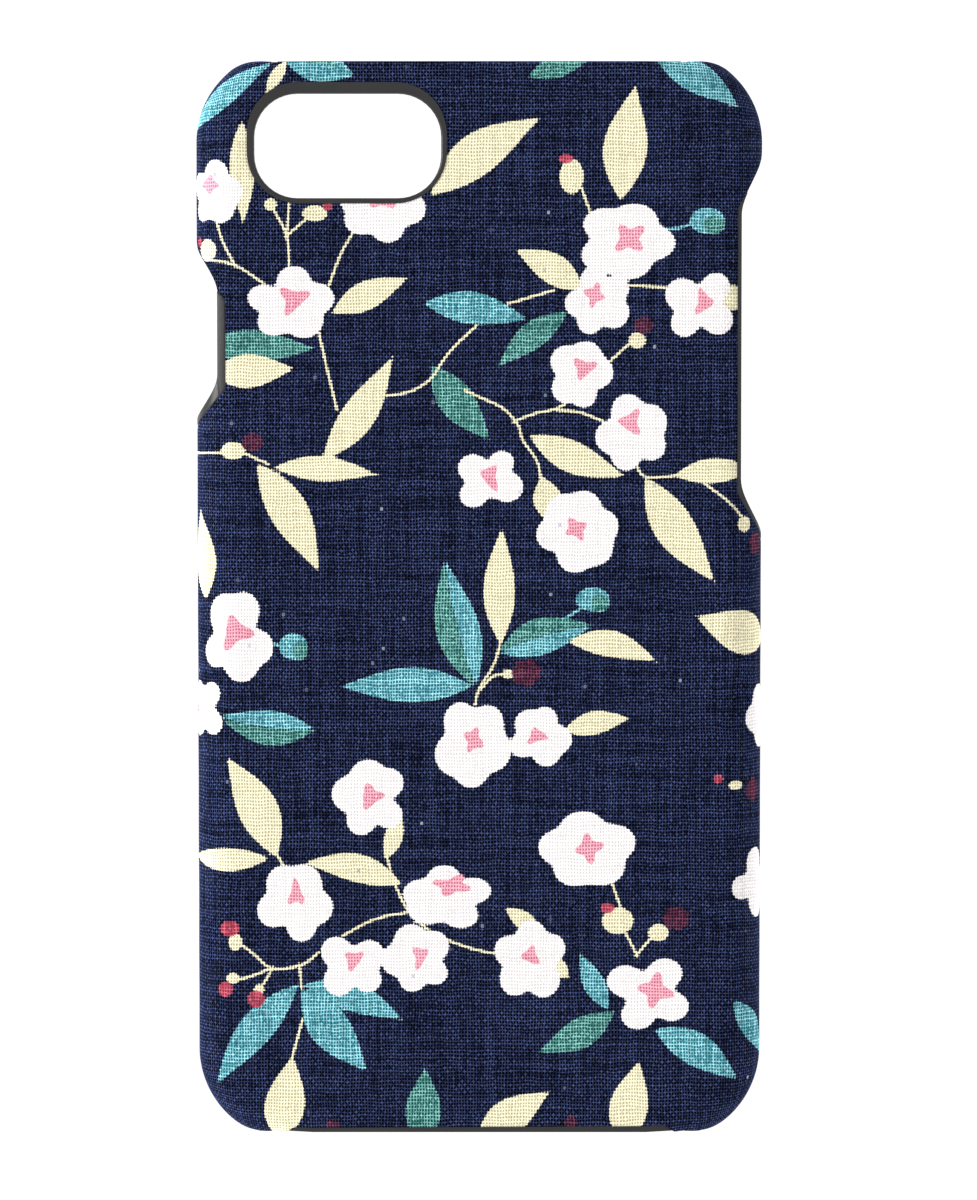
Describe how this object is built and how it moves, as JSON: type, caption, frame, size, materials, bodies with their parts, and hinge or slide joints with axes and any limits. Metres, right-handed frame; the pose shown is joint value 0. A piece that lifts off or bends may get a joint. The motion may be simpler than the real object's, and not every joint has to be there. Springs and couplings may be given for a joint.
{
  "type": "phone case",
  "caption": "Hard clip-on back case for a small smartphone, covered in printed cotton, with camera and button openings.",
  "frame": {"origin": "the middle of the inner bed face that the phone's back lies on", "axes": "+Z along the case towards its camera end, +Y from the back plate to the open front, +X across"},
  "size_m": [0.071, 0.0091, 0.1346],
  "materials": {
    "shell_plastic": "satin",
    "adhesive": "satin",
    "printed_cotton": "matt woven print"
  },
  "bodies": {
    "root": {"shell": "shell_plastic", "adhesive_film": "adhesive", "fabric_cover": "printed_cotton"}
  },
  "joints": []
}
